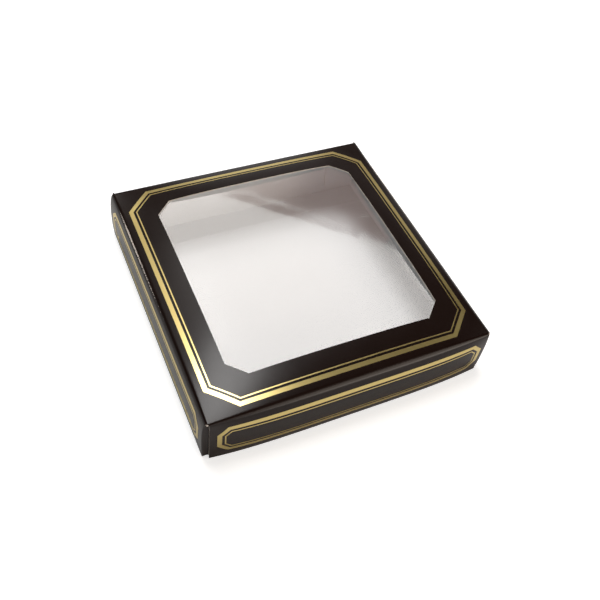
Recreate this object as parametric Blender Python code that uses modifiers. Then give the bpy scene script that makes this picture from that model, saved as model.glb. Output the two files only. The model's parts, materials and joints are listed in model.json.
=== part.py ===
"""Square candy box of folded printed paperboard, with a hinged windowed cover.

One board blank makes the whole box. The base tray stands on the bottom panel. The cover is hinged to the top
of the back wall and drops over the tray with three skirts. Every panel between two creases is one object, and
the clear film and the stamped gold lines are objects of their own.

Metres, +Z up. The front faces -Y. The origin is the centre of the tray's underside.
"""

import math

import bmesh
import bpy
from mathutils import Vector

# Driving sizes of the base tray
BASE_WIDTH = 0.141
BASE_DEPTH = 0.141
BOX_HEIGHT = 0.0286
BOARD = 0.0005
BACK_LEAN = 0.0055
TAB_LENGTH = 0.018
TAB_TAPER = 0.003
TAB_EASE = 0.0008

# Gaps between neighbours
SEAM = 0.0001
GLUE_SEAM = 0.00015
COVER_REST = 0.0003
SIDE_CLEARANCE = 0.0005
FRONT_CLEARANCE = 0.0004
SKIRT_LIFT = 0.0004
FRONT_SKIRT_INSET = 0.0005
SIDE_SKIRT_INSET = 0.0006

# How far the cover springs out of flat: the crown of its top, and the splay and belly of its skirts
CROWN = 0.0075
CROWN_POWER = 2.8
FRONT_SPLAY = 0.0022
FRONT_BELLY = 0.0025
SIDE_SPLAY = 0.0015
SIDE_BELLY = 0.0011
BELLY_END_POWER = 4
SPLAY_END_POWER = 2

# Window and its film
WINDOW_MARGIN = 0.0172
WINDOW_CLIP = 0.0082
FILM = 0.0001
FILM_LAP = 0.006
FILM_TENSION_SHARE = 0.3

# Gold lines: a wide one and a fine one inside it, with clipped corners
BORDER_MARGIN = 0.0045
BORDER_CLIP = 0.01225
SKIRT_BORDER_MARGIN = 0.0045
SKIRT_BORDER_CLIP = 0.0049
WIDE_LINE = 0.0021
LINE_GAP = 0.0012
FINE_LINE = 0.0007
FOIL = 0.00005
FOIL_GAP = 0.00005

# How finely the bowed sheets are divided
LONG_STEPS = 20
SHORT_STEPS = 3
CORNER_STEPS = 1
PANEL_RINGS = 7
FILM_RINGS = 7
FILM_CENTRE_SHARE = 0.12
SKIRT_COLUMNS = 28
SKIRT_ROWS = 12
TAB_COLUMNS = 5

# Places that follow from the sizes above
TRAY_HALF_X = BASE_WIDTH / 2
TRAY_HALF_Y = BASE_DEPTH / 2
FLOOR_TOP = BOARD + SEAM
WALL_TOP = BOX_HEIGHT - BOARD - COVER_REST
BACK_REACH = BOARD / math.cos(math.atan2(BACK_LEAN, BOX_HEIGHT))
SIDE_FOLD_X = TRAY_HALF_X + SIDE_CLEARANCE + BOARD
TAB_FACE_Y = -TRAY_HALF_Y - FRONT_CLEARANCE - BOARD
FRONT_FOLD_Y = TAB_FACE_Y - GLUE_SEAM - BOARD
BACK_FOLD_Y = TRAY_HALF_Y + BACK_LEAN
COVER_HALF_DEPTH = (BACK_FOLD_Y - FRONT_FOLD_Y) / 2
COVER_MID_Y = (BACK_FOLD_Y + FRONT_FOLD_Y) / 2
SKIRT_TOP = BOX_HEIGHT - BOARD - SEAM
SKIRT_START_Y = TAB_FACE_Y
SKIRT_END_Y = BACK_FOLD_Y - SIDE_SKIRT_INSET
FRONT_SKIRT_HALF = SIDE_FOLD_X - FRONT_SKIRT_INSET
HINGE = Vector((0, BACK_FOLD_Y, BOX_HEIGHT))

# How much a corner's clip grows when its outline moves out by one
CLIP_GROWTH = 2 - math.sqrt(2)

# Colours as linear red, green and blue
CHOCOLATE = (0.018, 0.010, 0.008)
PALE_BOARD = (0.75, 0.73, 0.70)
GOLD = (0.52, 0.40, 0.14)
CLEAR = (0.90, 0.92, 0.92)


def clear_scene():
    """Removes what the scene holds."""
    for old in list(bpy.data.objects):
        bpy.data.objects.remove(old)


def collection(name):
    """A collection of that name in the scene."""
    made = bpy.data.collections.new(name)
    bpy.context.scene.collection.children.link(made)
    return made


def material(name, colour, roughness, metallic=0.0, alpha=1.0):
    """A plain Principled material."""
    made = bpy.data.materials.new(name)
    made.use_nodes = True
    shader = made.node_tree.nodes["Principled BSDF"]
    shader.inputs["Base Color"].default_value = (*colour, 1)
    shader.inputs["Roughness"].default_value = roughness
    shader.inputs["Metallic"].default_value = metallic
    shader.inputs["Alpha"].default_value = alpha
    return made


class Box:
    """The collection that holds the box, and the empty that carries its cover."""

    def __init__(self):
        self.parts = collection("candy_box")
        self.hinge = bpy.data.objects.new("lid_hinge", None)
        self.hinge.location = HINGE
        self.parts.objects.link(self.hinge)

    def add(self, name, shape, finish, thickness, moves):
        """Links a sheet as one object and gives it its thickness on the side away from its normals."""
        if moves:
            bmesh.ops.translate(shape, verts=shape.verts, vec=-HINGE)
        mesh = bpy.data.meshes.new(name)
        shape.to_mesh(mesh)
        shape.free()
        made = bpy.data.objects.new(name, mesh)
        self.parts.objects.link(made)
        if moves:
            made.parent = self.hinge
        made.data.materials.append(material(name, **finish))
        wall = made.modifiers.new("thickness", "SOLIDIFY")
        wall.thickness = thickness
        wall.offset = -1
        wall.use_even_offset = True
        return made


BOARD_FINISH = {"colour": CHOCOLATE, "roughness": 0.28}
INNER_FINISH = {"colour": PALE_BOARD, "roughness": 0.75}
GOLD_FINISH = {"colour": GOLD, "roughness": 0.3, "metallic": 1.0}
FILM_FINISH = {"colour": CLEAR, "roughness": 0.05, "alpha": 0.25}


def turn_out(shape, outward):
    """Flips a sheet whose faces look away from the given side."""
    bmesh.ops.recalc_face_normals(shape, faces=shape.faces)
    total = sum((face.normal * face.calc_area() for face in shape.faces), Vector())
    if total.dot(Vector(outward)) < 0:
        bmesh.ops.reverse_faces(shape, faces=shape.faces)


def grid_sheet(place, columns, rows, outward):
    """A grid whose points go where place puts them. Its two arguments run from 0 to 1."""
    shape = bmesh.new()
    bmesh.ops.create_grid(shape, x_segments=columns, y_segments=rows, size=1)
    for vert in shape.verts:
        vert.co = place((vert.co.x + 1) / 2, (vert.co.y + 1) / 2)
    turn_out(shape, outward)
    return shape


def stepped(start, stop, steps):
    """Evenly spaced points from start up to stop, without stop itself."""
    return [start.lerp(stop, step / steps) for step in range(steps)]


def outline(half_a, half_b, clip, steps_a, steps_b, square=False):
    """Points round a rectangle with clipped corners, or with square ones that are stepped in the same way."""
    inner_a, inner_b = half_a - clip, half_b - clip
    ends = (
        (half_a, -inner_b),
        (half_a, inner_b),
        (inner_a, half_b),
        (-inner_a, half_b),
        (-half_a, inner_b),
        (-half_a, -inner_b),
        (-inner_a, -half_b),
        (inner_a, -half_b),
    )
    ends = [Vector(end) for end in ends]
    points = []
    for index, (start, stop) in enumerate(zip(ends, ends[1:] + ends[:1])):
        if index % 2 == 0:
            points += stepped(start, stop, steps_b if index % 4 == 0 else steps_a)
            continue
        corner = (start + stop) / 2
        if square:
            corner = Vector((math.copysign(half_a, corner.x), math.copysign(half_b, corner.y)))
        points += stepped(start, corner, CORNER_STEPS) + stepped(corner, stop, CORNER_STEPS)
    return points


def moved_out(half_a, half_b, clip, distance):
    """The half sizes and clip of an outline moved outward by a distance."""
    return half_a + distance, half_b + distance, clip + CLIP_GROWTH * distance


def ring_sheet(place, outer, inner, rings, outward, closed=False):
    """A sheet between two outlines with as many points each, or closed over the inner one."""
    shape = bmesh.new()
    loops = []
    for ring in range(rings + 1):
        share = ring / rings
        points = [shape.verts.new(place(*a.lerp(b, share))) for a, b in zip(outer, inner)]
        loops.append([shape.edges.new(pair) for pair in zip(points, points[1:] + points[:1])])
    for first, second in zip(loops, loops[1:]):
        bmesh.ops.bridge_loops(shape, edges=first + second)
    if closed:
        bmesh.ops.edgeloop_fill(shape, edges=loops[-1])
    turn_out(shape, outward)
    return shape


def back_face_y(height):
    """Where the leaning back wall's outer face is at a height."""
    return TRAY_HALF_Y + BACK_LEAN * height / BOX_HEIGHT


def flat_panel(foot_a, foot_b, top_a, top_b, outward):
    """A flat sheet between four corners."""
    foot_a, foot_b, top_a, top_b = (Vector(point) for point in (foot_a, foot_b, top_a, top_b))

    def place(a, b):
        return foot_a.lerp(foot_b, a).lerp(top_a.lerp(top_b, a), b)

    return grid_sheet(place, 1, 1, outward)


def add_tray(box):
    """The bottom panel, the four walls and the four glued corner tabs."""
    floor = flat_panel(
        (-TRAY_HALF_X, -TRAY_HALF_Y, 0),
        (TRAY_HALF_X, -TRAY_HALF_Y, 0),
        (-TRAY_HALF_X, TRAY_HALF_Y, 0),
        (TRAY_HALF_X, TRAY_HALF_Y, 0),
        (0, 0, -1),
    )
    box.add("bottom_panel", floor, INNER_FINISH, BOARD, False)
    front = flat_panel(
        (-TRAY_HALF_X, -TRAY_HALF_Y, FLOOR_TOP),
        (TRAY_HALF_X, -TRAY_HALF_Y, FLOOR_TOP),
        (-TRAY_HALF_X, -TRAY_HALF_Y, WALL_TOP),
        (TRAY_HALF_X, -TRAY_HALF_Y, WALL_TOP),
        (0, -1, 0),
    )
    box.add("front_wall", front, BOARD_FINISH, BOARD, False)
    back = flat_panel(
        (-TRAY_HALF_X, back_face_y(FLOOR_TOP), FLOOR_TOP),
        (TRAY_HALF_X, back_face_y(FLOOR_TOP), FLOOR_TOP),
        (-TRAY_HALF_X, back_face_y(WALL_TOP), WALL_TOP),
        (TRAY_HALF_X, back_face_y(WALL_TOP), WALL_TOP),
        (0, 1, 0),
    )
    box.add("back_wall", back, BOARD_FINISH, BOARD, False)
    for side, name in ((-1, "left"), (1, "right")):
        add_side_wall(box, name, side)


def add_side_wall(box, name, side):
    """One side wall and the tabs at its two ends, which are glued inside the front and back walls."""
    start_y = -TRAY_HALF_Y + BOARD + SEAM
    low_end = back_face_y(FLOOR_TOP) - BACK_REACH - SEAM
    high_end = back_face_y(WALL_TOP) - BACK_REACH - SEAM
    face_x = side * TRAY_HALF_X
    wall = flat_panel(
        (face_x, start_y, FLOOR_TOP),
        (face_x, low_end, FLOOR_TOP),
        (face_x, start_y, WALL_TOP),
        (face_x, high_end, WALL_TOP),
        (side, 0, 0),
    )
    box.add(f"{name}_wall", wall, BOARD_FINISH, BOARD, False)
    near_x = side * (TRAY_HALF_X - BOARD - SEAM)
    far_x = side * (TRAY_HALF_X - BOARD - SEAM - TAB_LENGTH)
    low, high = FLOOR_TOP + TAB_EASE, WALL_TOP - TAB_EASE

    def tab(face_y, outward):
        """A tab whose free end is tapered."""
        return flat_panel(
            (near_x, face_y(low), low),
            (far_x, face_y(low + TAB_TAPER), low + TAB_TAPER),
            (near_x, face_y(high), high),
            (far_x, face_y(high - TAB_TAPER), high - TAB_TAPER),
            outward,
        )

    front_tab = tab(lambda height: start_y, (0, -1, 0))
    box.add(f"front_{name}_tab", front_tab, INNER_FINISH, BOARD, False)
    back_tab = tab(lambda height: back_face_y(height) - BACK_REACH - SEAM, (0, 1, 0))
    box.add(f"back_{name}_tab", back_tab, INNER_FINISH, BOARD, False)


def falloff(share, power):
    """1 in the middle of a panel, and 0 at its edges."""
    return 1 - min(abs(share), 1) ** power


def crown(x, y):
    """How high the cover's top stands over its folds."""
    across = falloff(x / SIDE_FOLD_X, CROWN_POWER)
    along = falloff((y - COVER_MID_Y) / COVER_HALF_DEPTH, CROWN_POWER)
    return CROWN * across * along


def film_crown(x, y):
    """How high the film stands: as the panel does under it, and drawn nearly flat across the window."""
    window_x = SIDE_FOLD_X - WINDOW_MARGIN
    window_y = COVER_HALF_DEPTH - WINDOW_MARGIN
    share_x, share_y = abs(x) / window_x, abs(y - COVER_MID_Y) / window_y
    if max(share_x, share_y) >= 1:
        return crown(x, y)
    across = falloff(x / SIDE_FOLD_X, CROWN_POWER)
    along = falloff((y - COVER_MID_Y) / COVER_HALF_DEPTH, CROWN_POWER)
    edge_x = falloff(window_x / SIDE_FOLD_X, CROWN_POWER)
    edge_y = falloff(window_y / COVER_HALF_DEPTH, CROWN_POWER)
    pull_x = FILM_TENSION_SHARE + (1 - FILM_TENSION_SHARE) * share_x**2
    pull_y = FILM_TENSION_SHARE + (1 - FILM_TENSION_SHARE) * share_y**2
    rise_x = (across - edge_x) * edge_y * pull_y
    rise_y = (along - edge_y) * edge_x * pull_x
    return CROWN * (edge_x * edge_y + rise_x + rise_y)


def drop_share(z):
    """0 at the cover's folds and 1 at the table."""
    return (BOX_HEIGHT - z) / BOX_HEIGHT


def belly(share):
    """The bow of a skirt between its fold and its free edge, 1 at the middle."""
    return 4 * share * (1 - share)


def front_face_y(x, z):
    """The outer face of the bowed front skirt."""
    along, down = x / SIDE_FOLD_X, drop_share(z)
    bow = FRONT_BELLY * belly(down) * falloff(along, BELLY_END_POWER)
    splay = FRONT_SPLAY * down * falloff(along, SPLAY_END_POWER)
    return FRONT_FOLD_Y - bow - splay


def side_face_x(z):
    """How far from the middle a side skirt's outer face is at a height."""
    down = drop_share(z)
    return SIDE_FOLD_X + SIDE_BELLY * belly(down) + SIDE_SPLAY * down


def between(low, high, share):
    """The value a share of the way from low to high."""
    return low + (high - low) * share


def add_lid_panel(box):
    """The crowned top with its clipped window, and the film glued under it."""
    window = (SIDE_FOLD_X - WINDOW_MARGIN, COVER_HALF_DEPTH - WINDOW_MARGIN, WINDOW_CLIP)
    steps = (LONG_STEPS, LONG_STEPS)
    corner_reach = WINDOW_MARGIN + WINDOW_CLIP
    edge = outline(SIDE_FOLD_X, COVER_HALF_DEPTH, corner_reach, *steps, square=True)
    hole = outline(*window, *steps)

    def on_panel(x, y):
        return Vector((x, y + COVER_MID_Y, BOX_HEIGHT + crown(x, y + COVER_MID_Y)))

    panel = ring_sheet(on_panel, edge, hole, PANEL_RINGS, (0, 0, 1))
    box.add("lid_panel", panel, BOARD_FINISH, BOARD, True)

    def under_panel(x, y):
        height = BOX_HEIGHT + film_crown(x, y + COVER_MID_Y) - BOARD - 2 * SEAM
        return Vector((x, y + COVER_MID_Y, height))

    lap = moved_out(*window, FILM_LAP)
    centre = [FILM_CENTRE_SHARE * size for size in window]
    rim = outline(*lap, *steps)
    middle = outline(*centre, *steps)
    film = ring_sheet(under_panel, rim, middle, FILM_RINGS, (0, 0, 1), closed=True)
    box.add("window_film", film, FILM_FINISH, FILM, True)


def add_skirts(box):
    """The three skirts, and the tabs of the side ones that are glued behind the front one."""

    def on_front(a, b):
        x, z = between(-FRONT_SKIRT_HALF, FRONT_SKIRT_HALF, a), between(SKIRT_LIFT, SKIRT_TOP, b)
        return Vector((x, front_face_y(x, z), z))

    front = grid_sheet(on_front, SKIRT_COLUMNS, SKIRT_ROWS, (0, -1, 0))
    box.add("front_skirt", front, BOARD_FINISH, BOARD, True)
    for side, name in ((-1, "left"), (1, "right")):
        add_side_skirt(box, name, side)


def add_side_skirt(box, name, side):
    """One side skirt and its corner tab."""

    def on_side(a, b):
        z = between(SKIRT_LIFT, SKIRT_TOP, b)
        return Vector((side * side_face_x(z), between(SKIRT_START_Y, SKIRT_END_Y, a), z))

    skirt = grid_sheet(on_side, 1, SKIRT_ROWS, (side, 0, 0))
    box.add(f"{name}_skirt", skirt, BOARD_FINISH, BOARD, True)

    def on_tab(a, b):
        reach = between(0, TAB_LENGTH, a)
        taper = TAB_TAPER * a
        z = between(SKIRT_LIFT + TAB_EASE + taper, SKIRT_TOP - TAB_EASE - taper, b)
        x = side_face_x(z) - BOARD - SEAM - reach
        return Vector((side * x, front_face_y(x, z) - FRONT_FOLD_Y + TAB_FACE_Y, z))

    tab = grid_sheet(on_tab, TAB_COLUMNS, SKIRT_ROWS, (0, -1, 0))
    box.add(f"{name}_skirt_tab", tab, BOARD_FINISH, BOARD, True)


def add_border(box, name, place, frame, steps, outward, moves):
    """The wide gold line and the fine one inside it, on the face that place describes."""
    fine_start = WIDE_LINE + LINE_GAP
    lines = (("wide_line", 0, WIDE_LINE), ("fine_line", fine_start, fine_start + FINE_LINE))
    for kind, start, stop in lines:
        outer = outline(*moved_out(*frame, -start), *steps)
        inner = outline(*moved_out(*frame, -stop), *steps)
        foil = ring_sheet(place, outer, inner, 1, outward)
        box.add(f"{name}_{kind}", foil, GOLD_FINISH, FOIL, moves)


def add_borders(box):
    """The gold lines on the lid, on the three skirts and on the back wall."""
    lift = FOIL_GAP + FOIL
    middle_z = (SKIRT_TOP + SKIRT_LIFT) / 2
    half_height = (SKIRT_TOP - SKIRT_LIFT) / 2 - SKIRT_BORDER_MARGIN
    side_mid_y = (SKIRT_START_Y + SKIRT_END_Y) / 2

    def on_lid(x, y):
        return Vector((x, y + COVER_MID_Y, BOX_HEIGHT + crown(x, y + COVER_MID_Y) + lift))

    def on_front(x, height):
        z = middle_z + height
        return Vector((x, front_face_y(x, z) - lift, z))

    def on_back(x, height):
        z = middle_z + height
        return Vector((x, back_face_y(z) + lift, z))

    top = (SIDE_FOLD_X - BORDER_MARGIN, COVER_HALF_DEPTH - BORDER_MARGIN, BORDER_CLIP)
    front = (FRONT_SKIRT_HALF - SKIRT_BORDER_MARGIN, half_height, SKIRT_BORDER_CLIP)
    back = (TRAY_HALF_X - SKIRT_BORDER_MARGIN, half_height, SKIRT_BORDER_CLIP)
    side = ((SKIRT_END_Y - SKIRT_START_Y) / 2 - SKIRT_BORDER_MARGIN, half_height, SKIRT_BORDER_CLIP)
    even = (LONG_STEPS, LONG_STEPS)
    low = (LONG_STEPS, SHORT_STEPS)
    add_border(box, "lid", on_lid, top, even, (0, 0, 1), True)
    add_border(box, "front", on_front, front, low, (0, -1, 0), True)
    add_border(box, "back", on_back, back, low, (0, 1, 0), False)
    for sign, name in ((-1, "left"), (1, "right")):

        def on_side(y, height, sign=sign):
            z = middle_z + height
            return Vector((sign * (side_face_x(z) + lift), y + side_mid_y, z))

        add_border(box, name, on_side, side, low, (sign, 0, 0), True)


def main():
    """Builds the box."""
    clear_scene()
    box = Box()
    add_tray(box)
    add_lid_panel(box)
    add_skirts(box)
    add_borders(box)


main()
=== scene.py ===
"""Looks of a square candy box: one creased board blank, a clear window film and stamped gold lines.

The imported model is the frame. Each blank is cut flat, then folded by moving its points, as a carton is made.
Metres, +Z up. The front faces -Y.
"""

from __future__ import annotations

import json
import logging
import math
from collections.abc import Callable, Iterable, Sequence
from dataclasses import dataclass, field
from enum import Enum
from functools import partial
from itertools import product

import bmesh
import bpy
from mathutils import Matrix, Vector, noise


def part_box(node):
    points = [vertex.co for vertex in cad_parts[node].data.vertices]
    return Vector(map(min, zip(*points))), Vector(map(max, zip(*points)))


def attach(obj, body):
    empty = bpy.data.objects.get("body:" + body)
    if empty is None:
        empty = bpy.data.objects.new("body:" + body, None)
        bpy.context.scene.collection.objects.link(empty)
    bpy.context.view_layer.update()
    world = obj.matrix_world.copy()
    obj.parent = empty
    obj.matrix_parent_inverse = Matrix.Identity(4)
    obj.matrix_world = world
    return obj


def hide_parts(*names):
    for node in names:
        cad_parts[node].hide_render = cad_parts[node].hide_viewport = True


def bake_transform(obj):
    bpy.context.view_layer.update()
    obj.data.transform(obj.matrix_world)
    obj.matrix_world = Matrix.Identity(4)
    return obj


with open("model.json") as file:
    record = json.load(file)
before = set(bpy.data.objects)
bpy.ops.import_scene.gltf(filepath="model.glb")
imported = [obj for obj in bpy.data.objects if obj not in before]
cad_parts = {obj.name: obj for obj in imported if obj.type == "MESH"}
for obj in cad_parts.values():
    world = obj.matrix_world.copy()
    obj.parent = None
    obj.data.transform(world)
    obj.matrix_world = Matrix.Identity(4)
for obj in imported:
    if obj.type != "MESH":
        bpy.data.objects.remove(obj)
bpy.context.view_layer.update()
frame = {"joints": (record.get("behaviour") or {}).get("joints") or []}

LOG = logging.getLogger("candy_box")
MM = 0.001
CREASE_SHARES = (-1, -0.75, -0.5, -0.25, 0, 0.25, 0.5, 0.75, 1)
CORNER_SHARES = (-1, -0.5, 0, 0.5, 1)
CUT_TOLERANCE = 0.01 * MM
NORMAL_STEP = 0.05 * MM
SHARP_ANGLE = math.radians(50)


class Side(Enum):
    """The side of the cover that a skirt hangs from."""

    LEFT = -1
    RIGHT = 1


def linear(code: str) -> tuple[float, float, float, float]:
    """Turns an sRGB hex colour to linear red, green and blue.

    Args:
        code: Six hex digits.

    Returns:
        The linear colour, with an alpha of 1.
    """
    shares = [int(code[start : start + 2], 16) / 255 for start in (0, 2, 4)]
    red, green, blue = (s / 12.92 if s <= 0.04045 else ((s + 0.055) / 1.055) ** 2.4 for s in shares)
    return red, green, blue, 1.0


class Nodes:
    """The node tree of a material or of the world."""

    def __init__(self, owner: bpy.types.Material | bpy.types.World) -> None:
        """Starts with an empty tree.

        Args:
            owner: What the tree belongs to.
        """
        owner.use_nodes = True
        self.tree = owner.node_tree
        self.tree.nodes.clear()

    def add(
        self, kind: str, settings: dict[str, object] | None = None, **links: object
    ) -> bpy.types.NodeOutputs:
        """Adds a node, sets it up and feeds its inputs.

        Args:
            kind: The node's type, without ShaderNode.
            settings: Values of the node's own properties.
            **links: Inputs by name, with underscores for spaces. A socket is linked and a value is set.
                An input known by its number is written as in_ and the number.

        Returns:
            The node's outputs.
        """
        node = self.tree.nodes.new(f"ShaderNode{kind}")
        for name, value in (settings or {}).items():
            setattr(node, name, value)
        for name, value in links.items():
            socket = node.inputs[int(name[3:]) if name.startswith("in_") else name.replace("_", " ")]
            if isinstance(value, bpy.types.NodeSocket):
                self.tree.links.new(value, socket)
            else:
                socket.default_value = value
        return node.outputs

    def grain(self, size: float, detail: float, **links: object) -> bpy.types.NodeSocket:
        """Noise whose lumps have a size."""
        place = self.add("TexCoord")["Object"]
        return self.add("TexNoise", Vector=place, Scale=1 / size, Detail=detail, **links)["Fac"]

    def calculate(self, operation: str, *values: object) -> bpy.types.NodeSocket:
        """Does a sum with numbers or sockets."""
        links = {f"in_{place}": value for place, value in enumerate(values)}
        return self.add("Math", {"operation": operation}, **links)[0]

    def spread(self, value: bpy.types.NodeSocket, **ends: float) -> bpy.types.NodeSocket:
        """Maps one range of a value to another."""
        return self.add("MapRange", Value=value, **ends)[0]

    def mix(self, share: bpy.types.NodeSocket, low: object, high: object) -> bpy.types.NodeSocket:
        """Mixes two numbers, or two colours.

        Args:
            share: How much of the second one there is.
            low: The first one, or its socket.
            high: The second one.

        Returns:
            The mixture.
        """
        if isinstance(high, tuple):
            return self.add("Mix", {"data_type": "RGBA"}, Factor=share, in_6=low, in_7=high)[2]
        return self.add("Mix", {"data_type": "FLOAT"}, Factor=share, in_2=low, in_3=high)[0]

    def bump(
        self, height: bpy.types.NodeSocket, depth: float, strength: float, **links: object
    ) -> bpy.types.NodeSocket:
        """Turns heights to slopes."""
        return self.add("Bump", Height=height, Distance=depth, Strength=strength, **links)[0]


def new_material(name: str) -> tuple[bpy.types.Material, Nodes]:
    """Starts a material and its nodes."""
    made = bpy.data.materials.new(name)
    return made, Nodes(made)


def add_object(name: str, data: bpy.types.ID) -> bpy.types.Object:
    """Puts a mesh, a lamp or a camera in the scene.

    Args:
        name: The object's name.
        data: What it shows.

    Returns:
        The object.
    """
    made = bpy.data.objects.new(name, data)
    bpy.context.scene.collection.objects.link(made)
    return made


@dataclass(frozen=True)
class PrintedBoard:
    """Folding board printed solid dark chocolate and gloss varnished."""

    ink: str = "120603"
    ink_thin: str = "180b06"
    core: str = "d9cfc4"
    core_roughness: float = 0.8
    roughness: float = 0.24
    glossier: float = 0.02
    duller: float = 0.03
    varnish_level: float = 0.31
    # Board fibres are some 0.03 mm wide. They are drawn coarser, so that they show in the white cracks and in
    # the painted highlight along the side creases.
    fibre: float = 0.45 * MM
    fibre_depth: float = 0.002 * MM
    peel: float = 2.4 * MM
    peel_depth: float = 0.012 * MM
    mottle: float = 11 * MM
    crack_and_highlight_start: float = 0.47
    crack_and_highlight_end: float = 0.54

    def build(self) -> bpy.types.Material:
        """Makes the material: the white core shows through cracked varnish along the creases, and the same
        white paints a highlight along the side creases.

        Returns:
            The material.
        """
        # Varnish over solid ink: deep brown black, soft-edged reflections, a faint orange peel.
        made, nodes = new_material("gloss_varnished_print")
        fibre = nodes.grain(self.fibre, detail=3.0)
        peel = nodes.grain(self.peel, detail=2.0)
        mottle = nodes.grain(self.mottle, detail=4.0)
        ink = nodes.mix(mottle, linear(self.ink), linear(self.ink_thin))
        crease = nodes.add("Attribute", {"attribute_name": "crease"})["Fac"]
        # Painted highlight: the crease attribute is strongest along the side creases near the back. There this
        # white stands in for the folds' glint. Elsewhere it is real cracked varnish.
        cracks_and_highlight = nodes.calculate("MULTIPLY", crease, fibre)
        wear_and_highlight_share = nodes.spread(cracks_and_highlight, From_Min=self.crack_and_highlight_start, From_Max=self.crack_and_highlight_end)
        glossiest, dullest = self.roughness - self.glossier, self.roughness + self.duller
        rough = nodes.spread(mottle, To_Min=glossiest, To_Max=dullest)
        coarse = nodes.bump(peel, self.peel_depth, strength=0.5)
        shader = nodes.add(
            "BsdfPrincipled",
            Base_Color=nodes.mix(wear_and_highlight_share, ink, linear(self.core)),
            Roughness=nodes.mix(wear_and_highlight_share, rough, self.core_roughness),
            IOR=1.5,
            Specular_IOR_Level=self.varnish_level,
            Normal=nodes.bump(fibre, self.fibre_depth, strength=0.5, Normal=coarse),
        )
        nodes.add("OutputMaterial", Surface=shader[0])
        return made


@dataclass(frozen=True)
class BareBoard:
    """Uncoated white back of folding board, and its cut edge."""

    name: str = "uncoated_white_board"
    light: str = "d7d8d9"
    dark: str = "d4d5d6"
    roughness: float = 0.75
    # Drawn coarser than real fibres, which are too fine to show.
    fibre: float = 0.5 * MM
    fibre_depth: float = 0.006 * MM
    cloud: float = 9 * MM
    shade_start: float = 0.15
    shade_end: float = 0.4

    def build(self) -> bpy.types.Material:
        """Makes the material.

        Returns:
            The material.
        """
        # Bare pressed fibre: matt and pale, with no highlight and the faintest cloudiness.
        made, nodes = new_material(self.name)
        fibre = nodes.grain(self.fibre, detail=4.0, Roughness=0.7)
        both = nodes.calculate("MULTIPLY", fibre, nodes.grain(self.cloud, detail=3.0))
        share = nodes.spread(both, From_Min=self.shade_start, From_Max=self.shade_end)
        shader = nodes.add(
            "BsdfPrincipled",
            Base_Color=nodes.mix(share, linear(self.dark), linear(self.light)),
            Roughness=self.roughness,
            Normal=nodes.bump(fibre, self.fibre_depth, strength=0.6),
        )
        nodes.add("OutputMaterial", Surface=shader[0])
        return made


@dataclass(frozen=True)
class GoldFoil:
    """Hot-stamped metallic foil."""

    colour: str = "e4cf8a"
    roughness: float = 0.29

    def build(self) -> bpy.types.Material:
        """Makes the material.

        Returns:
            The material.
        """
        # Foil pressed on board: a pale gold metal whose mirror the fibres under it make soft.
        made, nodes = new_material("hot_stamped_gold_foil")
        shader = nodes.add(
            "BsdfPrincipled", Base_Color=linear(self.colour), Metallic=1.0, Roughness=self.roughness
        )
        nodes.add("OutputMaterial", Surface=shader[0])
        return made


@dataclass(frozen=True)
class ClearFilm:
    """Stretched plastic window film."""

    tint: str = "fbfbfb"
    roughness: float = 0.05
    wave: float = 14 * MM
    wave_depth: float = 0.03 * MM

    def build(self) -> bpy.types.Material:
        """Makes the material, which lets the lamps' light through to the inside of the box.

        Returns:
            The material.
        """
        # Clear glossy film: the tray shows through a veil of mirrored light that shallow waves bend.
        made, nodes = new_material("clear_plastic_film")
        wave = nodes.grain(self.wave, detail=1.0)
        glass = nodes.add(
            "BsdfPrincipled",
            Base_Color=linear(self.tint),
            Roughness=self.roughness,
            IOR=1.5,
            Transmission_Weight=1.0,
            Normal=nodes.bump(wave, self.wave_depth, strength=1.0),
        )
        clear = nodes.add("BsdfTransparent", Color=linear(self.tint))
        path = nodes.add("LightPath")
        lamps = nodes.calculate("MAXIMUM", path["Is Shadow Ray"], path["Is Diffuse Ray"])
        mixed = nodes.add("MixShader", in_0=lamps, in_1=glass[0], in_2=clear[0])
        nodes.add("OutputMaterial", Surface=mixed[0])
        return made


@dataclass(frozen=True)
class Finishes:
    """The box's materials, made once."""

    print: bpy.types.Material = field(default_factory=lambda: PrintedBoard().build())
    bare: bpy.types.Material = field(default_factory=lambda: BareBoard().build())
    edge: bpy.types.Material = field(
        default_factory=lambda: BareBoard("cut_board_edge", "e8e0d6", "cfc5b8", 0.85).build()
    )
    foil: bpy.types.Material = field(default_factory=lambda: GoldFoil().build())
    film: bpy.types.Material = field(default_factory=lambda: ClearFilm().build())

    @property
    def board(self) -> tuple[bpy.types.Material, ...]:
        """A board's outer face, inner face and cut edge."""
        return self.print, self.bare, self.edge


def falloff(share: float, power: float) -> float:
    """Gives 1 in the middle of a panel and 0 at its edges."""
    return 1 - min(abs(share), 1) ** power


def bulge(share: float) -> float:
    """Gives 1 half way and 0 at both ends."""
    return 4 * share * (1 - share)


def smooth(share: float) -> float:
    """Eases from 0 to 1."""
    share = min(max(share, 0), 1)
    return share * share * (3 - 2 * share)


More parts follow.
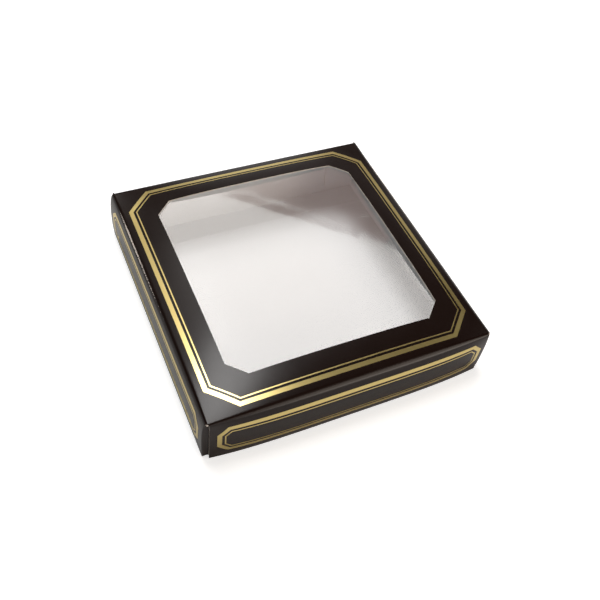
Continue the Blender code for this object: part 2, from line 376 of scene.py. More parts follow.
@dataclass(frozen=True)
class Form:
    """The outer faces of the closed box, before its creases are rounded.

    Its places come from the frame. The rest says how far the board springs out of flat.
    """

    half_width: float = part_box("lid_panel")[1].x
    front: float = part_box("lid_panel")[0].y
    hinge: Vector = field(default_factory=lambda: Vector(frame["joints"][0]["pos_m"]))
    tray_half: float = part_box("bottom_panel")[1].x
    board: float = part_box("bottom_panel")[1].z
    crown: float = 7.5 * MM
    crown_power: float = 2.8
    bow_power: float = 4
    front_shoulder: float = 2.2 * MM
    front_shoulder_depth: float = 4 * MM
    front_belly: float = 1.5 * MM
    side_shoulder: float = 1.0 * MM
    side_shoulder_depth: float = 2.2 * MM
    side_splay: float = 0.5 * MM
    side_belly: float = 0.7 * MM
    ripple: float = 0.12 * MM
    ripple_length: float = 45 * MM

    @property
    def back(self) -> float:
        """The hinge crease's place along Y."""
        return self.hinge.y

    @property
    def height(self) -> float:
        """The height of the cover's creases."""
        return self.hinge.z

    @property
    def middle(self) -> float:
        """The lid's middle along Y."""
        return (self.front + self.back) / 2

    @property
    def half_depth(self) -> float:
        """Half the lid's depth."""
        return (self.back - self.front) / 2

    def wave(self, x: float, y: float, seed: float) -> float:
        """A panel's slight unevenness at a point of it."""
        return self.ripple * noise.noise(Vector((x, y, 0)) / self.ripple_length + Vector((0, 0, seed)))

    def lid_top(self, x: float, y: float) -> float:
        """Shapes the crowned lid.

        Args:
            x: The point's place across.
            y: Its place from front to back.

        Returns:
            The lid's height there.
        """
        across = falloff(x / self.half_width, self.crown_power)
        along = falloff((y - self.middle) / self.half_depth, self.crown_power)
        flat = falloff(x / self.half_width, 2) * falloff((y - self.middle) / self.half_depth, 2)
        return self.height + self.crown * across * along + self.wave(x, y, 1) * flat

    def front_face(self, x: float, z: float) -> float:
        """Shapes the bowed front skirt.

        Args:
            x: The point's place across.
            z: Its height.

        Returns:
            The skirt's place along Y there.
        """
        along, down = x / self.half_width, 1 - z / self.height
        held = falloff(along, self.bow_power)
        belly = self.front_belly * bulge(down) * held
        shoulder = 1 - math.exp((z - self.height) / self.front_shoulder_depth)
        return self.front - belly - self.front_shoulder * shoulder * held

    def side_face(self, z: float) -> float:
        """Shapes the side skirts.

        Args:
            z: The point's height.

        Returns:
            How far a side skirt's outer face is from the middle there.
        """
        down = 1 - z / self.height
        belly = self.side_belly * bulge(down)
        shoulder = self.side_shoulder * (1 - math.exp((z - self.height) / self.side_shoulder_depth))
        return self.half_width + belly + self.side_splay * down + shoulder

    def back_face(self, z: float) -> float:
        """The leaning back wall's place along Y."""
        return self.tray_half + (self.back - self.tray_half) * z / self.height


def cut_sheet(
    low: Vector,
    high: Vector,
    cell: float,
    across: Iterable[float] = (),
    along: Iterable[float] = (),
) -> bmesh.types.BMesh:
    """Cuts a flat rectangle of board and divides it.

    Args:
        low: Its lowest corner.
        high: Its highest corner.
        cell: The rough size of a cell.
        across: Places along X of more dividing lines.
        along: Places along Y of more dividing lines.

    Returns:
        The flat sheet.
    """
    size, centre = high - low, (high + low) / 2
    shape = bmesh.new()
    bmesh.ops.create_grid(
        shape,
        x_segments=max(1, round(size.x / cell)),
        y_segments=max(1, round(size.y / cell)),
        size=0.5,
        matrix=Matrix.Translation(centre.to_3d()) @ Matrix.Diagonal((size.x, size.y, 1, 1)),
    )
    for axis, places in enumerate((across, along)):
        for place in places:
            point, normal = Vector(), Vector()
            point[axis], normal[axis] = place, 1
            slice_sheet(shape, point, normal, shape.faces)
    return shape


def slice_sheet(
    shape: bmesh.types.BMesh,
    point: Vector,
    normal: Vector,
    faces: Iterable[bmesh.types.BMFace],
) -> None:
    """Divides some of a sheet's faces along a plane.

    Args:
        shape: The sheet.
        point: A point of the plane.
        normal: The plane's direction.
        faces: The faces to divide.
    """
    faces = list(faces)
    edges = {edge for face in faces for edge in face.edges}
    verts = {vert for face in faces for vert in face.verts}
    geometry = [*verts, *edges, *faces]
    bmesh.ops.bisect_plane(shape, geom=geometry, dist=CUT_TOLERANCE, plane_co=point, plane_no=normal)


def cut_away(shape: bmesh.types.BMesh, waste: Callable[[float, float], bool]) -> None:
    """Removes the faces whose centre is waste.

    Args:
        shape: The sheet.
        waste: Tells from a flat point whether it is waste.
    """
    gone = []
    for face in shape.faces:
        centre = face.calc_center_median()
        if waste(centre.x, centre.y):
            gone.append(face)
    bmesh.ops.delete(shape, geom=gone, context="FACES")


@dataclass
class Blank:
    """A creased sheet that folds. Each kind says where its flat points go."""

    form: Form
    finishes: Finishes
    radius: float = 1.4 * MM
    tab_length: float = 18 * MM
    tab_taper: float = 3 * MM
    tab_ease: float = 0.8 * MM
    strip: float = 2.4 * MM

    def place(self, x: float, y: float) -> Vector:
        """Where a flat point goes, with its creases rounded."""
        raise NotImplementedError

    def rounding(
        self,
        distance: float,
        reach: Callable[[float], Vector],
        radius: float | None = None,
    ) -> Vector:
        """How far a crease's rounding moves a point off the sharp fold.

        Args:
            distance: How far past the crease the point is.
            reach: Gives the sharply folded point at a distance past the crease.
            radius: How far the rounding reaches to either side.

        Returns:
            The move.
        """
        radius = radius or self.radius
        if abs(distance) >= radius:
            return Vector()
        share = (radius - abs(distance)) / (2 * radius)
        return share**2 * (reach(-radius) + reach(radius) - 2 * reach(0))

    def normal(self, x: float, y: float) -> Vector:
        """Finds which way the folded sheet's upper side faces.

        Args:
            x: The flat point's place across.
            y: Its place along.

        Returns:
            The direction.
        """
        across = self.place(x + NORMAL_STEP, y) - self.place(x - NORMAL_STEP, y)
        along = self.place(x, y + NORMAL_STEP) - self.place(x, y - NORMAL_STEP)
        return across.cross(along).normalized()

    def taper(self, z: float, middle: float, reach: float) -> float:
        """The height of a tab's point, drawn to the tab's middle as the tab gets narrower."""
        return middle + (z - middle) * (1 - self.tab_taper / middle * max(reach, 0) / self.tab_length)

    def crease_lines(self, crease: float) -> list[float]:
        """Dividing lines that give a crease its round section."""
        return [crease + share * self.radius for share in CREASE_SHARES]


def finish_sheet(
    name: str,
    shape: bmesh.types.BMesh,
    thickness: float,
    materials: Sequence[bpy.types.Material],
    offset: float = -1,
) -> bpy.types.Object:
    """Makes a folded sheet an object with a thickness.

    Args:
        name: The piece's name.
        shape: The sheet's outer face.
        thickness: Its thickness.
        materials: Those of the outer face, the inner face and the cut edge.
        offset: The side that the thickness goes to, -1 for inside.

    Returns:
        The object.
    """
    for face in shape.faces:
        face.smooth = True
    mesh = bpy.data.meshes.new(name)
    shape.to_mesh(mesh)
    shape.free()
    made = add_object(name, mesh)
    for material in materials:
        mesh.materials.append(material)
    wall = made.modifiers.new("thickness", "SOLIDIFY")
    wall.thickness = thickness
    wall.offset = offset
    wall.material_offset = min(1, len(materials) - 1)
    wall.material_offset_rim = min(2, len(materials) - 1)
    graph = bpy.context.evaluated_depsgraph_get()
    made.data = bpy.data.meshes.new_from_object(made.evaluated_get(graph))
    made.data.name = name
    made.modifiers.clear()
    bpy.data.meshes.remove(mesh)
    made.data.set_sharp_from_angle(angle=SHARP_ANGLE)
    return made


@dataclass
class Cover(Blank):
    """The cover: the lid with its clipped window, three skirts, and a tab at each front corner."""

    radius: float = 1.6 * MM
    radius_at_ends: float = 1.2 * MM
    radius_change: float = 15 * MM
    cell: float = 3 * MM
    window_margin: float = 17.2 * MM
    window_clip: float = 8.2 * MM
    skirt_lift: float = 0.4 * MM
    front_inset: float = 1.1 * MM
    side_inset: float = 0.6 * MM
    tab_set_back: float = 1.3 * MM
    corner_radius: float = 0.9 * MM
    # Painted highlight: the settings below draw a white streak along the side creases, brightest near the
    # back, that stands in for the folds' glint. Its strength also sets the real worn spot at the front
    # corners.
    highlight_place: float = 48 * MM
    highlight_head: float = 30 * MM
    highlight_tail: float = 120 * MM
    rub_and_highlight: float = 1.5
    rub_and_highlight_width: float = 1.2 * MM
    rub_corner: float = 0.7 * MM
    light_wear: float = 0.45

    @property
    def tab_line(self) -> float:
        """The crease between a side skirt and its tab."""
        return self.form.front + self.tab_set_back

    @property
    def window(self) -> tuple[float, float]:
        """The window's half width and half depth."""
        return self.form.half_width - self.window_margin, self.form.half_depth - self.window_margin

    def lid(self, x: float, y: float) -> Vector:
        """A point of the lid."""
        return Vector((x, y, self.form.lid_top(x, y)))

    def front_skirt(self, x: float, depth: float) -> Vector:
        """A point of the front skirt."""
        z = self.form.height - depth
        return Vector((x, self.form.front_face(x, z), z))

    def side_skirt(self, side: float, depth: float, y: float) -> Vector:
        """A point of a side skirt."""
        z = self.form.height - depth
        return Vector((side * self.form.side_face(z), y, z))

    def tab(self, side: float, depth: float, reach: float) -> Vector:
        """Shapes the tab behind the front skirt, which gets narrower towards its end.

        Args:
            side: -1 for the left tab and 1 for the right one.
            depth: How far below the lid's crease the point is.
            reach: How far past the tab's own crease it is.

        Returns:
            The folded point.
        """
        z = self.taper(self.form.height - depth, self.form.height / 2, reach)
        x = self.form.side_face(z) - reach
        return Vector((side * x, self.form.front_face(x, z) + self.tab_set_back, z))

    def place(self, x: float, y: float) -> Vector:
        """Folds a point of the flat blank, with the creases rounded.

        Args:
            x: The flat point's place across.
            y: Its place along.

        Returns:
            The folded point.
        """
        form = self.form
        side = math.copysign(1, x)
        depth, ahead = abs(x) - form.half_width, form.front - y
        lid_y = max(y, form.front)

        def over_side(distance: float) -> Vector:
            """A point past the side's crease, or short of it."""
            if distance > 0:
                return self.side_skirt(side, distance, lid_y)
            return self.lid(side * (form.half_width + distance), lid_y)

        def over_front(distance: float) -> Vector:
            """A point past the front's crease, or short of it."""
            lid_x = max(min(x, form.half_width), -form.half_width)
            if distance > 0:
                return self.front_skirt(lid_x, distance)
            return self.lid(lid_x, form.front - distance)

        from_end = smooth(min(form.back - y, y - form.front) / self.radius_change)
        side_radius = self.radius_at_ends + (self.radius - self.radius_at_ends) * from_end
        side_round = self.rounding(depth, over_side, side_radius)
        front_round = self.rounding(ahead, over_front)
        if depth <= 0:
            flat = self.front_skirt(x, ahead) if ahead > 0 else self.lid(x, y)
            return flat + side_round + front_round
        reach = self.tab_line - y

        def over_corner(distance: float) -> Vector:
            """A point past the tab's crease, or short of it."""
            if distance > 0:
                return self.tab(side, depth, distance)
            return self.side_skirt(side, depth, self.tab_line - distance)

        flat = self.tab(side, depth, reach) if reach > 0 else self.side_skirt(side, depth, y)
        held = smooth(depth / (2 * self.radius))
        corner_round = self.rounding(reach, over_corner, self.corner_radius)
        return flat + side_round + front_round * (1 - held) + corner_round * held

    def wear_and_highlight(self, x: float, y: float) -> float:
        """Says how cracked the varnish is, most on the sides' creases, where a hand lifts the cover.

        Args:
            x: The flat point's place across.
            y: Its place along.

        Returns:
            The share of white, 0 where the print is whole.
        """
        form = self.form
        depth, ahead = abs(x) - form.half_width, form.front - y
        # Painted highlight: the strong white streak along the side creases, brightest near the back.
        reach = self.highlight_head if y > self.highlight_place else self.highlight_tail
        held = self.rub_and_highlight * (1 - abs(y - self.highlight_place) / reach)
        side = max(held, self.light_wear) * max(0, 1 - abs(depth) / self.rub_and_highlight_width)
        end = self.light_wear * max(0, 1 - abs(ahead) / self.rub_corner) if depth < 0 else 0
        return max(side, end, self.rub_and_highlight * smooth(2 - math.hypot(depth, ahead) / self.rub_corner))

    def waste(self, x: float, y: float) -> bool:
        """Tells whether a flat point is cut away round the blank or in its window.

        Args:
            x: The flat point's place across.
            y: Its place along.

        Returns:
            True where it is cut away.
        """
        form = self.form
        across, ahead = abs(x) - form.half_width, form.front - y
        window_x, window_y = self.window
        from_middle = abs(y - form.middle)
        if abs(x) < window_x and from_middle < window_y:
            return abs(x) + from_middle < window_x + window_y - self.window_clip
        if ahead > 0 and across <= 0:
            return abs(x) > form.half_width - self.front_inset
        if across > 0 and y < self.tab_line:
            past = across < self.tab_ease or across > form.height - self.skirt_lift - self.tab_ease
            return past or self.tab_line - y > self.tab_length
        if across > 0:
            return y > form.back - self.side_inset
        return y > form.back - self.strip and abs(x) < form.tray_half

    def blank(self) -> bmesh.types.BMesh:
        """Cuts the flat blank.

        Returns:
            The blank, divided along its creases.
        """
        form = self.form
        skirt = form.height - self.skirt_lift
        window_x, window_y = self.window
        clip_x, clip_y = window_x - self.window_clip, window_y - self.window_clip
        lines_x = [form.half_width - self.front_inset, window_x, clip_x, form.tray_half]
        lines_x += [form.half_width + self.tab_ease, form.half_width + skirt - self.tab_ease]
        lines_x += self.crease_lines(form.half_width)
        lines_y = [form.middle + place for place in (window_y, clip_y, -window_y, -clip_y)]
        lines_y += [form.back - self.side_inset, form.back - self.strip, self.tab_line - self.tab_length]
        lines_y += [self.tab_line + share * self.corner_radius for share in CORNER_SHARES]
        lines_y += self.crease_lines(form.front)
        reach = form.half_width + skirt
        low, high = Vector((-reach, form.front - skirt)), Vector((reach, form.back))
        shape = cut_sheet(low, high, self.cell, [s * x for x in lines_x for s in (-1, 1)], lines_y)
        for sign_x, sign_y in product((-1, 1), repeat=2):
            point = Vector((sign_x * window_x, form.middle + sign_y * clip_y, 0))
            near = []
            for face in shape.faces:
                centre = face.calc_center_median()
                beyond_x = window_x > sign_x * centre.x > clip_x
                if beyond_x and window_y > sign_y * (centre.y - form.middle) > clip_y:
                    near.append(face)
            slice_sheet(shape, point, Vector((sign_x, sign_y, 0)), near)
        cut_away(shape, self.waste)
        return shape

    def build(self) -> bpy.types.Object:
        """Cuts and folds the cover, and marks its creases for the print's wear and for the painted highlight
        along the side creases.

        Returns:
            The cover's board.
        """
        shape = self.blank()
        # The crease attribute carries real wear and the painted highlight along the side creases.
        layer = shape.verts.layers.float.new("crease")
        for vert in shape.verts:
            x, y = vert.co.x, vert.co.y
            vert[layer] = self.wear_and_highlight(x, y)
            vert.co = self.place(x, y)
        bmesh.ops.recalc_face_normals(shape, faces=shape.faces)
        made = finish_sheet("cover_board", shape, self.form.board, self.finishes.board)
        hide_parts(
            "lid_panel",
            "front_skirt",
            "left_skirt",
            "right_skirt",
            "left_skirt_tab",
            "right_skirt_tab",
        )
        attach(made, "cover")
        return made


@dataclass
class Tray(Blank):
    """The base: the bottom panel, four walls, and the side walls' tabs, glued inside the end walls."""

    radius: float = 0.5 * MM
    cell: float = 4 * MM
    wall_gap: float = 0.3 * MM
    tab_set_back: float = 0.6 * MM
    score: float = 14 * MM
    score_width: float = 0.5 * MM
    score_height: float = 0.2 * MM

    @property
    def wall_top(self) -> float:
        """The height of the walls' cut edges, under the lid."""
        return self.form.height - self.form.board - self.wall_gap

    def lean(self, y: float, z: float) -> float:
        """How far the leaning back wall draws a side wall's point back."""
        share = max(y / self.form.tray_half, 0)
        return (self.form.back_face(z) - self.form.tray_half) * share

    def side_wall(self, side: float, z: float, y: float) -> Vector:
        """A point of a side wall."""
        return Vector((side * self.form.tray_half, y + self.lean(y, z), z))

    def end_wall(self, end: float, z: float, x: float) -> Vector:
        """A point of the front or back wall."""
        return Vector((x, self.form.back_face(z) if end > 0 else -self.form.tray_half, z))

    def tab(self, side: float, end: float, z: float, reach: float) -> Vector:
        """Shapes a tab, which gets narrower towards its end.

        Args:
            side: -1 for a left tab and 1 for a right one.
            end: -1 at the front and 1 at the back.
            z: The point's height.
            reach: How far past the tab's crease it is.

        Returns:
            The folded point.
        """
        z = self.taper(z, self.wall_top / 2, reach)
        y = end * (self.form.tray_half - self.tab_set_back)
        return Vector((side * (self.form.tray_half - reach), y + self.lean(y, z), z))

    def bead(self, beyond: float) -> float:
        """The height of the bead that a second score raises on the floor, along the end walls."""
        return self.score_height * smooth(1 - abs(beyond + self.score) / self.score_width)

    def place(self, x: float, y: float) -> Vector:
        """Folds a point of the flat blank, with the creases rounded.

        Args:
            x: The flat point's place across.
            y: Its place along.

        Returns:
            The folded point.
        """
        half = self.form.tray_half
        side, end = math.copysign(1, x), math.copysign(1, y)
        rise, beyond = abs(x) - half, abs(y) - half
        floor_x, floor_y = side * min(abs(x), half), end * min(abs(y), half)

        def over_side(distance: float) -> Vector:
            """A point up the side wall, or on the floor short of it."""
            if distance > 0:
                return self.side_wall(side, distance, floor_y)
            return Vector((side * (half + distance), floor_y, 0))

        def over_end(distance: float) -> Vector:
            """A point up the end wall, or on the floor short of it."""
            if distance > 0:
                return self.end_wall(end, distance, floor_x)
            return Vector((floor_x, end * (half + distance), 0))

        side_round = self.rounding(rise, over_side)
        end_round = self.rounding(beyond, over_end)
        if rise <= 0:
            flat = self.end_wall(end, beyond, x) if beyond > 0 else Vector((x, y, self.bead(beyond)))
            return flat + side_round + end_round
        reach = beyond + self.tab_set_back

        def over_corner(distance: float) -> Vector:
            """A point of the tab, or of the side wall short of it."""
            if distance > 0:
                return self.tab(side, end, rise, distance)
            return self.side_wall(side, rise, end * (half - self.tab_set_back + distance))

        flat = self.tab(side, end, rise, reach) if reach > 0 else self.side_wall(side, rise, y)
        held = smooth(rise / (2 * self.radius))
        return flat + side_round + end_round * (1 - held) + self.rounding(reach, over_corner) * held

    def waste(self, x: float, y: float) -> bool:
        """Tells whether a flat point is cut away round the blank.

        Args:
            x: The flat point's place across.
            y: Its place along.

        Returns:
            True where it is cut away.
        """
        half = self.form.tray_half
        rise, beyond = abs(x) - half, abs(y) - half
        reach = beyond + self.tab_set_back
        if rise > 0 and reach > 0:
            past = rise < self.tab_ease or rise > self.wall_top - self.tab_ease
            return past or reach > self.tab_length
        if y > half and rise <= 0:
            return beyond > self.form.height - self.strip
        return beyond > self.wall_top

    def blank(self) -> bmesh.types.BMesh:
        """Cuts the flat blank.

        Returns:
            The blank, divided along its creases.
        """
        half = self.form.tray_half
        lines_x = [half + self.tab_ease, half + self.wall_top - self.tab_ease, *self.crease_lines(half)]
        tab_line = half - self.tab_set_back
        lines_y = [tab_line + self.tab_length, *self.crease_lines(half)]
        lines_y += [tab_line + share * self.radius for share in CORNER_SHARES]
        lines_y += [half - self.score + share * self.score_width for share in CORNER_SHARES]
        both_x = [sign * place for place in lines_x for sign in (-1, 1)]
        both_y = [sign * place for place in lines_y for sign in (-1, 1)]
        both_y += [half + self.form.height - self.strip]
        reach = half + self.wall_top
        shape = cut_sheet(Vector((-reach, -reach)), Vector((reach, reach)), self.cell, both_x, both_y)
        cut_away(shape, self.waste)
        return shape

    def build(self) -> bpy.types.Object:
        """Cuts and folds the tray, whose printed side is outside.

        Returns:
            The tray's board.
        """
        shape = self.blank()
        shape.verts.layers.float.new("crease")
        for vert in shape.verts:
            vert.co = self.place(vert.co.x, vert.co.y)
        bmesh.ops.reverse_faces(shape, faces=shape.faces)
        made = finish_sheet("tray_board", shape, self.form.board, self.finishes.board)
        walls = ["bottom_panel", "front_wall", "back_wall", "left_wall", "right_wall"]
        tabs = [f"{end}_{side}_tab" for end in ("front", "back") for side in ("left", "right")]
        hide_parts(*walls, *tabs)
        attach(made, "tray")
        return made


@dataclass
class HingeCrease:
    """The strip of board that bends between the back wall and the lid."""

    cover: Cover
    tray: Tray
    finishes: Finishes

    def sharp(self, x: float, past: float) -> Vector:
        """A point of the strip with its crease still sharp, on the lid where past is not above 0."""
        if past > 0:
            return self.tray.end_wall(1, self.cover.form.height - past, x)
        return self.cover.lid(x, self.cover.form.back + past)

    def build(self) -> bpy.types.Object:
        """Cuts the strip and folds it.

        Returns:
            The strip.
        """
        form, radius, reach = self.cover.form, self.cover.radius_at_ends, self.cover.strip
        half = form.tray_half
        lines = [share * radius for share in CREASE_SHARES]
        shape = cut_sheet(Vector((-half, -reach)), Vector((half, reach)), self.cover.cell, along=lines)
        layer = shape.verts.layers.float.new("crease")
        for vert in shape.verts:
            x, past = vert.co.x, vert.co.y
            over = partial(self.sharp, x)
            vert[layer] = self.cover.light_wear * max(0, 1 - abs(past) / self.cover.rub_corner)
            vert.co = over(past) + self.cover.rounding(past, over, radius)
        bmesh.ops.recalc_face_normals(shape, faces=shape.faces)
        if sum(face.normal.z for face in shape.faces) < 0:
            bmesh.ops.reverse_faces(shape, faces=shape.faces)
        made = finish_sheet("hinge_crease", shape, form.board, self.finishes.board)
        start = self.tray.end_wall(1, form.height - (reach + radius) / 2, 0)
        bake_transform(made)
        return made


@dataclass(frozen=True)
class Fold:
    """A shallow bowed fold in slack film: its ends, how far it bows, its half width and its rise."""

    start: Vector
    end: Vector
    bow: float
    width: float
    rise: float
    fade: float = 0.75

    def height(self, place: Vector) -> float:
        """Shapes the fold.

        Args:
            place: A point of the film.

        Returns:
            The fold's height there.
        """
        along, past = self.end - self.start, place.to_2d() - self.start
        ahead = past.dot(along) / along.length_squared
        off = past.cross(along) / along.length - self.bow * bulge(ahead)
        return self.rise * smooth(1 - abs(off) / self.width) * smooth(1 - abs(ahead - 0.5) / self.fade)


@dataclass
class WindowFilm:
    """The clear film, glued under the lid round its window."""

    cover: Cover
    finishes: Finishes
    lap: float = 6 * MM
    thickness: float = 0.08 * MM
    glue: float = 0.06 * MM
    glue_width: float = 2 * MM
    rise: float = 2.6 * MM
    ease: float = 0.04 * MM
    cell: float = 1.0 * MM
    ripple: float = 0.03 * MM
    ripple_length: float = 30 * MM
    ripple_stretch: float = 0.4
    ripple_seed: Vector = field(default_factory=lambda: Vector((3, 5, 2)))
    folds: tuple[Fold, ...] = (
        Fold(Vector((-18, 60)) * MM, Vector((38, 7)) * MM, -1.5 * MM, 6 * MM, -0.022 * MM),
        Fold(Vector((38, 8)) * MM, Vector((54, 12)) * MM, -5 * MM, 6 * MM, -0.075 * MM),
    )

    def spans(self, place: Vector) -> float:
        """Measures from the window's edge.

        Args:
            place: A point of the film.

        Returns:
            How far inside the edge it is, and negative under the lid.
        """
        window_x, window_y = self.cover.window
        along = abs(place.y - self.cover.form.middle)
        clip = (window_x + window_y - self.cover.window_clip - abs(place.x) - along) / math.sqrt(2)
        return min(window_x - abs(place.x), window_y - along, clip)

    def wave(self, place: Vector) -> float:
        """Shapes the slack film's ripple, which dies away at the window's edge, and its folds.

        Args:
            place: A point of the film.

        Returns:
            Their height there.
        """
        along = place.y - self.cover.form.middle
        skew = Vector((place.x + along, (along - place.x) * self.ripple_stretch, 0)) / self.ripple_length
        held = smooth(self.spans(place) / self.ripple_length)
        ripple = self.ripple * noise.noise(skew + self.ripple_seed) * held
        return ripple + sum(fold.height(place) for fold in self.folds)

    def build(self) -> bpy.types.Object:
        """Cuts the film, glues its edge under the lid, and lets the rest settle across the window.

        Returns:
            The film.
        """
        form = self.cover.form
        half_x, half_y = (size + self.lap for size in self.cover.window)
        corner = self.cover.window_clip + (2 - math.sqrt(2)) * self.lap
        low, high = Vector((-half_x, form.middle - half_y)), Vector((half_x, form.middle + half_y))
        shape = cut_sheet(low, high, self.cell)
        for sign_x, sign_y in product((-1, 1), repeat=2):
            point = Vector((sign_x * half_x, form.middle + sign_y * (half_y - corner), 0))
            slice_sheet(shape, point, Vector((sign_x, sign_y, 0)), shape.faces)
        cut_away(shape, lambda x, y: abs(x) + abs(y - form.middle) > half_x + half_y - corner)
        for vert in shape.verts:
            free = smooth(1 + self.spans(vert.co) / self.glue_width)
            glued = form.lid_top(vert.co.x, vert.co.y)
            room = form.height + self.rise - glued
            settled = glued + (room - math.hypot(room, self.ease)) / 2 * free + self.wave(vert.co)
            vert.co.z = settled - form.board - self.glue
        made = finish_sheet("window_film_sheet", shape, self.thickness, (self.finishes.film,))
        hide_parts("window_film")
        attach(made, "cover")
        return made


@dataclass(frozen=True)
class GoldFrame:
    """A wide gold line with clipped corners, and a fine one inside it, stamped on a blank's panel."""

    name: str
    centre: Vector
    half_x: float
    half_y: float
    clip: float
    wide: float = 2.1 * MM
    gap: float = 1.2 * MM
    fine: float = 0.6 * MM
    foil: float = 0.03 * MM
    lift: float = 0.02 * MM
    cell: float = 3 * MM

    def ring(self, start: float, width: float) -> bmesh.types.BMesh:
        """Cuts one flat line of foil.

        Args:
            start: How far inside the frame's outline the line begins.
            width: Its width.

        Returns:
            The flat line.
        """
        shape = bmesh.new()
        inner_x, inner_y = self.half_x - self.clip, self.half_y - self.clip
        corners = []
        for sign_x, sign_y in ((1, 1), (-1, 1), (-1, -1), (1, -1)):
            pair = [(sign_x * self.half_x, sign_y * inner_y), (sign_x * inner_x, sign_y * self.half_y)]
            corners += pair if sign_x * sign_y > 0 else pair[::-1]
        sheet = shape.faces.new([shape.verts.new((self.centre + Vector(c)).to_3d()) for c in corners])
        shape.normal_update()
        if start:
            rim = bmesh.ops.inset_individual(shape, faces=[sheet], thickness=start, use_even_offset=True)
            bmesh.ops.delete(shape, geom=rim["faces"], context="FACES")
        bmesh.ops.inset_individual(shape, faces=[sheet], thickness=width, use_even_offset=True)
        bmesh.ops.delete(shape, geom=[sheet], context="FACES_ONLY")
        for axis, half in enumerate((self.half_x, self.half_y)):
            steps = max(2, round(2 * half / self.cell))
            for step in range(1, steps):
                point, normal = self.centre.to_3d(), Vector()
                point[axis] += half * (2 * step / steps - 1)
                normal[axis] = 1
                slice_sheet(shape, point, normal, shape.faces)
        return shape

    def stamp(self, blank: Blank, body: str, finishes: Finishes) -> None:
        """Stamps both lines on a blank.

        Args:
            blank: What they are stamped on.
            body: The body that they ride on.
            finishes: The box's materials.
        """
        outward = 1 if body == "cover" else -1
        for kind, start, width in (("wide", 0, self.wide), ("fine", self.wide + self.gap, self.fine)):
            shape = self.ring(start, width)
            normals = {}
            for vert in shape.verts:
                x, y = vert.co.x, vert.co.y
                normals[vert] = outward * blank.normal(x, y)
                vert.co = blank.place(x, y) + normals[vert] * self.lift
            shape.normal_update()
            shape.faces.ensure_lookup_table()
            face = shape.faces[0]
            if face.normal.dot(normals[face.verts[0]]) < 0:
                bmesh.ops.reverse_faces(shape, faces=shape.faces)
            made = finish_sheet(f"{self.name}_{kind}_foil", shape, self.foil, (finishes.foil,), offset=1)
            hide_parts(f"{self.name}_{kind}_line")
            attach(made, body)
            LOG.info("%s stamped on the %s", made.name, body)


@dataclass
class GoldLines:
    """The gold frames of every panel, laid out in the flat blanks' coordinates."""

    cover: Cover
    tray: Tray
    finishes: Finishes
    margin: float = 4.5 * MM
    lid_clip: float = 12.25 * MM
    lid_off: tuple[float, float] = (-0.3 * MM, -0.4 * MM)
    skirt_clip: float = 4.9 * MM
    front_margin: float = 2.8 * MM
    front_off: float = 0.7 * MM

    def frames(self) -> list[GoldFrame]:
        """Lays out the frames, the back wall's last.

        Returns:
            The frames.
        """
        form, cover, margin, clip = self.cover.form, self.cover, self.margin, self.skirt_clip
        top, bottom = margin, form.height - cover.skirt_lift - margin
        half_high, mid_high = (bottom - top) / 2, (bottom + top) / 2
        lid_centre = Vector((self.lid_off[0], form.middle + self.lid_off[1]))
        lid_half_x, lid_half_y = form.half_width - margin, form.half_depth - margin
        front_centre = Vector((self.front_off, form.front - mid_high))
        front_half = form.half_width - cover.front_inset - self.front_margin
        frames = [
            GoldFrame("lid", lid_centre, lid_half_x, lid_half_y, self.lid_clip),
            GoldFrame("front", front_centre, front_half, half_high, clip),
        ]
        start, stop = cover.tab_line, form.back - cover.side_inset
        for side in Side:
            centre = Vector((side.value * (form.half_width + mid_high), (start + stop) / 2))
            half_long = (stop - start) / 2 - margin
            frames.append(GoldFrame(side.name.lower(), centre, half_high, half_long, clip))
        back_centre = Vector((0, form.tray_half + form.height - mid_high))
        frames.append(GoldFrame("back", back_centre, form.tray_half - margin, half_high, clip))
        return frames

    def build(self) -> None:
        """Stamps the frames, the back wall's on the tray and the rest on the cover."""
        *cover_frames, back_frame = self.frames()
        for gold in cover_frames:
            gold.stamp(self.cover, "cover", self.finishes)
        back_frame.stamp(self.tray, "tray", self.finishes)


@dataclass(frozen=True)
class Softbox:
    """A soft rectangular lamp. Its glow is the brightness of its face, where 1 is white."""

    name: str
    place: tuple[float, float, float]
    size: tuple[float, float]
    glow: float
    colour: str
    level: bool = True
    turn: float = 0


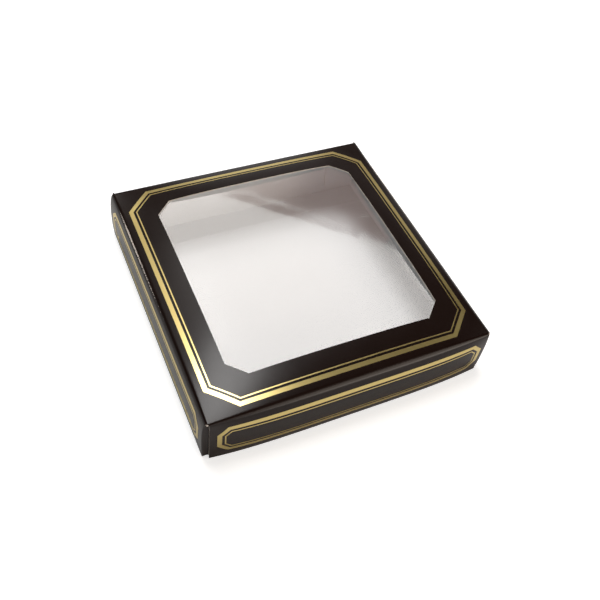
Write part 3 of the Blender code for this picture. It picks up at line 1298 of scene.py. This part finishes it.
@dataclass
class Studio:
    """The pale floor, the soft lamps, the world and the camera at the photograph's angle."""

    lens: float = 45.566
    nearest: float = 10 * MM
    eye: Vector = field(default_factory=lambda: Vector((-125.29, -221.88, 309.36)) * MM)
    right: Vector = field(default_factory=lambda: Vector((0.91062, -0.4013, 0.09866)))
    up: Vector = field(default_factory=lambda: Vector((0.25542, 0.73423, 0.62902)))
    floor_reach: float = 1.2
    floor_colour: str = "dcdcdc"
    floor_roughness: float = 0.9
    floor_glow: float = 0.64
    mirrored_share: float = 0.04
    horizon: float = 1.0
    horizon_colour: str = "ffffff"
    horizon_top: float = 0.22
    ceiling: float = 0.06
    ceiling_colour: str = "e6d8cc"
    ceiling_start: float = 0.41
    lamps: tuple[Softbox, ...] = (
        Softbox("overhead_softbox", (-0.08, 0.27, 1), (0.38, 0.46), 10.4, "fffefd"),
        Softbox("back_right_softbox", (0.279, 0.714, 1), (0.8, 0.576), 4.0, "fffaf6", turn=-44),
        Softbox("back_card", (0.531, 1.024, 1), (0.56, 0.22), 1.1, "ffd6cb", turn=-44),
        Softbox("left_card", (-0.3, 0.72, 1), (0.22, 0.28), 1.5, "fffaf6"),
        Softbox("front_right_softbox", (0.55, -0.9, 0.5), (0.8, 0.7), 2.6, "fff1e2", level=False),
        Softbox("low_right_softbox", (0.6, -1.05, 0.14), (0.8, 0.3), 2.8, "fff0e2", level=False),
    )

    def add_camera(self) -> None:
        """Adds the camera."""
        data = bpy.data.cameras.new("camera")
        data.lens = self.lens
        data.clip_start = self.nearest
        camera = add_object("camera", data)
        back = self.right.cross(self.up)
        turn = Matrix((self.right, self.up, back)).transposed().to_4x4()
        camera.matrix_world = Matrix.Translation(self.eye) @ turn
        bpy.context.scene.camera = camera

    def add_floor(self) -> None:
        """Adds the floor, which the camera sees as white but for the box's shadow."""
        shape = bmesh.new()
        bmesh.ops.create_grid(shape, x_segments=1, y_segments=1, size=self.floor_reach)
        mesh = bpy.data.meshes.new("floor")
        shape.to_mesh(mesh)
        shape.free()
        floor = add_object("floor", mesh)
        # White paper: to the camera and through the film it is white, and it keeps the box's shadow.
        made, nodes = new_material("white_paper_sweep")
        path = nodes.add("LightPath")
        glow = 0.0
        rays = {"Is Camera Ray": 1.0, "Is Transmission Ray": 1.0, "Is Glossy Ray": self.mirrored_share}
        for ray, share in rays.items():
            glow = nodes.calculate("MULTIPLY_ADD", path[ray], self.floor_glow * share, glow)
        shader = nodes.add(
            "BsdfPrincipled",
            Base_Color=linear(self.floor_colour),
            Roughness=self.floor_roughness,
            Emission_Color=linear("ffffff"),
            Emission_Strength=glow,
        )
        nodes.add("OutputMaterial", Surface=shader[0])
        made.cycles.emission_sampling = "NONE"
        mesh.materials.append(made)

    def add_softbox(self, lamp: Softbox) -> None:
        """Hangs a softbox.

        Args:
            lamp: The softbox.
        """
        data = bpy.data.lights.new(lamp.name, "AREA")
        data.shape = "RECTANGLE"
        data.size, data.size_y = lamp.size
        data.energy = lamp.glow * math.pi * lamp.size[0] * lamp.size[1]
        data.color = linear(lamp.colour)[:3]
        made = add_object(lamp.name, data)
        turn = Matrix.Rotation(math.radians(lamp.turn), 4, "Z")
        if not lamp.level:
            turn = Vector(lamp.place).to_track_quat("Z", "Y").to_matrix().to_4x4()
        made.matrix_world = Matrix.Translation(lamp.place) @ turn

    def add_world(self) -> None:
        """Adds the world: pale walls all round, and a dim warm ceiling that the varnish mirrors."""
        world = bpy.data.worlds.new("pale_room")
        bpy.context.scene.world = world
        nodes = Nodes(world)
        rise = nodes.add("SeparateXYZ", Vector=nodes.add("TexCoord")["Generated"])["Z"]
        share = nodes.add(
            "MapRange",
            {"interpolation_type": "SMOOTHSTEP"},
            Value=rise,
            From_Min=self.horizon_top,
            From_Max=self.ceiling_start,
        )[0]
        colour = nodes.mix(share, linear(self.horizon_colour), linear(self.ceiling_colour))
        strength = nodes.mix(share, self.horizon, self.ceiling)
        shader = nodes.add("Background", Color=colour, Strength=strength)
        nodes.add("OutputWorld", Surface=shader[0])

    def build(self) -> None:
        """Builds the studio."""
        self.add_camera()
        self.add_floor()
        self.add_world()
        for lamp in self.lamps:
            self.add_softbox(lamp)
        bpy.context.scene.view_settings.view_transform = "Standard"


def main() -> None:
    """Builds the box and its studio, and reports each piece."""
    logging.basicConfig(level=logging.INFO, format="%(message)s")
    form, finishes = Form(), Finishes()
    cover, tray = Cover(form, finishes), Tray(form, finishes)
    for part in (cover, tray, HingeCrease(cover, tray, finishes), WindowFilm(cover, finishes)):
        made = part.build()
        LOG.info("%s: %d points", made.name, len(made.data.vertices))
    GoldLines(cover, tray, finishes).build()
    Studio().build()


if __name__ == "__main__":
    main()
